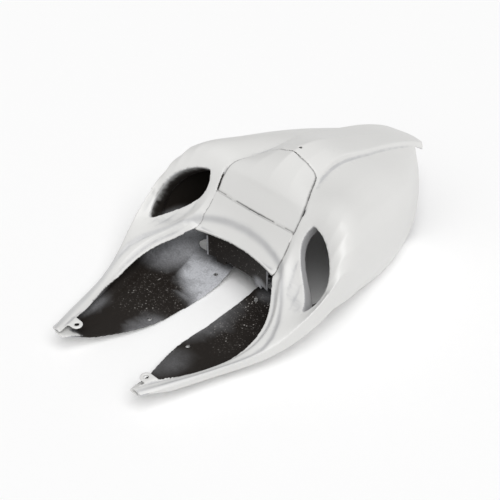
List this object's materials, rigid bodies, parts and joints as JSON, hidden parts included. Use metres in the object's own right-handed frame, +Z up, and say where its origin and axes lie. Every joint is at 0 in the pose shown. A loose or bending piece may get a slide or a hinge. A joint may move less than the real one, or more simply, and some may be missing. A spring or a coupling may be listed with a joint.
{
  "type": "motorcycle tail section",
  "caption": "Moulded sports motorcycle tail section: hollow white shell with open seat cradle, forked front arms, side intakes, an arched seat bridge and a bonded seat cowl.",
  "frame": {"origin": "on the surface it rests on, halfway along and across the part", "axes": "+Z up, +Y to the rear, +X to the rider's left"},
  "size_m": [0.356, 0.662, 0.1929],
  "materials": {
    "shell_paint": "satin white paint outside, rough black inside",
    "bridge_paint": "satin white paint outside, rough black inside",
    "cowl_paint": "satin white paint outside, rough black inside"
  },
  "bodies": {
    "root": {"tail_shell": "shell_paint", "seat_bridge": "bridge_paint", "seat_cowl": "cowl_paint"}
  },
  "joints": []
}
